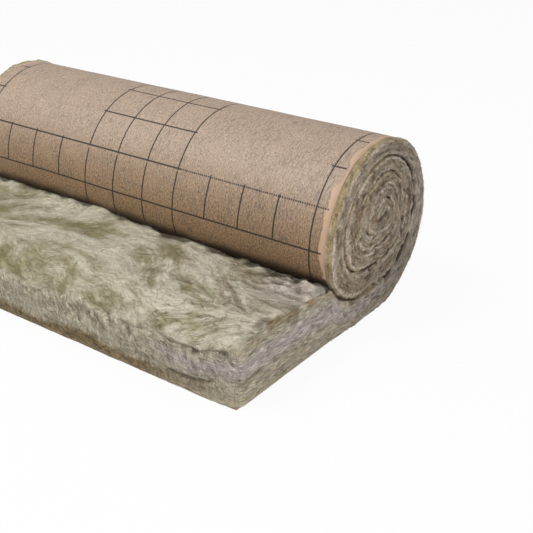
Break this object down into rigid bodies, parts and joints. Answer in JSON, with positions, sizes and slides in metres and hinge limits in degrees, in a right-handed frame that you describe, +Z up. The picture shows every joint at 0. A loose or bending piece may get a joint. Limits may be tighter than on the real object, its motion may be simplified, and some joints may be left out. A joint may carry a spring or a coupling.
{
  "type": "kraft-faced mineral wool insulation roll",
  "caption": "Partly unrolled mineral wool insulation blanket with a printed kraft paper facing, a coiled roll behind a short open run that lies flat on the floor.",
  "frame": {"origin": "on the floor, under the middle of the whole piece's box", "axes": "+X along the blanket's width and the roll's axis, -Y towards the cut front end of the open run, +Z up from the floor"},
  "size_m": [1.2, 0.75, 0.432],
  "materials": {
    "mineral_wool": "matte fibrous wool in cream, olive and lilac-grey layers",
    "kraft_paper": "matte kraft paper, lightly mottled, with a thin printed cutting grid"
  },
  "bodies": {
    "root": {"wool_blanket": "mineral_wool", "kraft_facing": "kraft_paper"}
  },
  "joints": []
}
